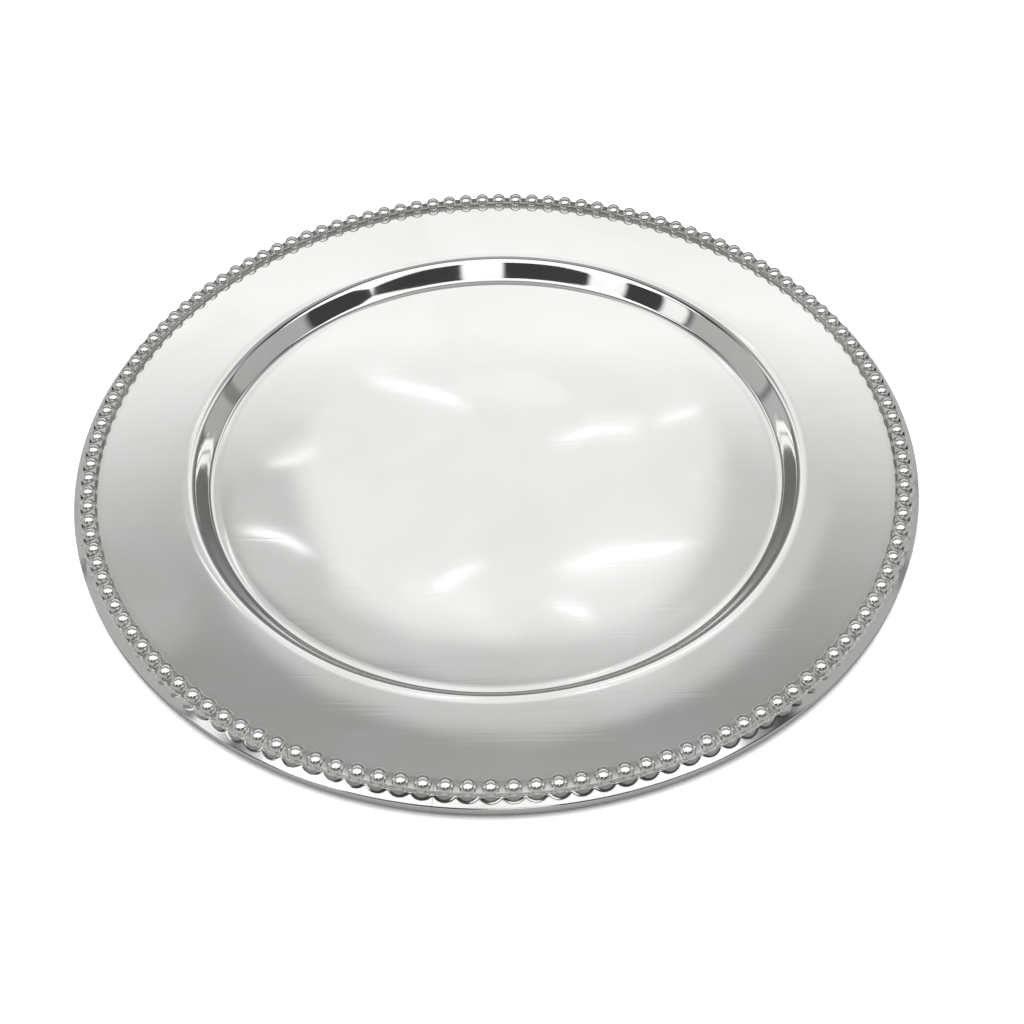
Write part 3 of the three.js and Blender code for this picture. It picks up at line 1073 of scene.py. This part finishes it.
def area_lamp(name, width, depth, energy, location):
    light = bpy.data.lights.new(name, "AREA")
    light.shape = "RECTANGLE"
    light.size = width
    light.size_y = depth
    light.energy = energy
    lamp = shown(name, light)
    lamp.location = location
    return lamp


def studio_lamps(studio):
    """A softbox over the camera's side, and a light straight above that silver doesn't mirror."""
    width = studio.softbox_width
    depth = studio.softbox_depth
    energy = math.pi * width * depth * studio.softbox_brightness
    middle = studio.softbox_edge - depth / 2
    area_lamp("softbox", width, depth, energy, (0.0, middle, studio.softbox_height))
    size = studio.fill_size
    fill = area_lamp("fill", size, size, studio.fill, (0.0, 0.0, studio.fill_height))
    fill.visible_glossy = False


def studio_camera(studio):
    back = Vector((0.0, -math.cos(studio.elevation), math.sin(studio.elevation)))
    side = Vector((1.0, 0.0, 0.0))
    up = back.cross(side)
    right = side * math.cos(studio.roll) + up * math.sin(studio.roll)
    above = up * math.cos(studio.roll) - side * math.sin(studio.roll)
    aim = Vector((studio.aim_x, studio.aim_y, LIP_LOW.z))
    data = bpy.data.cameras.new("camera")
    data.sensor_width = SENSOR_WIDTH
    data.lens = studio.lens
    data.clip_start = NEAREST_SEEN
    camera = shown("camera", data)
    turn = Matrix((right, above, back)).transposed()
    camera.matrix_world = Matrix.Translation(aim + back * studio.distance) @ turn.to_4x4()
    bpy.context.scene.camera = camera


class SALVER_OT_stage(bpy.types.Operator):
    """Set the camera, the pale floor and the soft studio light"""

    bl_idname = "salver.make_stage"
    bl_label = "Make Stage"

    def execute(self, context):
        studio = context.scene.salver_studio
        studio_camera(studio)
        studio_floor(studio)
        studio_lamps(studio)
        studio_world()
        context.scene.view_settings.view_transform = "Standard"
        return {"FINISHED"}


# ---------- panel and registration ----------

OPERATORS = (
    SALVER_OT_stage,
    SALVER_OT_dish,
    SALVER_OT_bead_border,
    SALVER_OT_lip_moulding,
    SALVER_OT_rim_wire,
)
SETTINGS = {
    "salver_dish": SalverDishSettings,
    "salver_border": SalverBorderSettings,
    "salver_lip": SalverLipSettings,
    "salver_finish": SalverFinishSettings,
    "salver_studio": SalverStudioSettings,
}


class SALVER_PT_panel(bpy.types.Panel):
    """Sizes and finishes of the salver, and the steps that make it"""

    bl_idname = "SALVER_PT_panel"
    bl_label = "Beaded Salver"
    bl_space_type = "VIEW_3D"
    bl_region_type = "UI"
    bl_category = "Salver"

    def draw(self, context):
        for attribute, settings in SETTINGS.items():
            part = self.layout.box()
            part.label(text=settings.__doc__)
            for name in settings.__annotations__:
                part.prop(getattr(context.scene, attribute), name)
        for operator in OPERATORS:
            self.layout.operator(operator.bl_idname)


CLASSES = (*SETTINGS.values(), *OPERATORS, SALVER_PT_panel)


def register():
    for item in CLASSES:
        bpy.utils.register_class(item)
    for attribute, settings in SETTINGS.items():
        setattr(bpy.types.Scene, attribute, bpy.props.PointerProperty(type=settings))


def unregister():
    for attribute in SETTINGS:
        delattr(bpy.types.Scene, attribute)
    for item in reversed(CLASSES):
        bpy.utils.unregister_class(item)


def main():
    register()
    bpy.ops.salver.make_stage()
    bpy.ops.salver.make_dish()
    bpy.ops.salver.make_bead_border()
    bpy.ops.salver.make_lip_moulding()
    bpy.ops.salver.make_rim_wire()


if __name__ == "__main__":
    main()
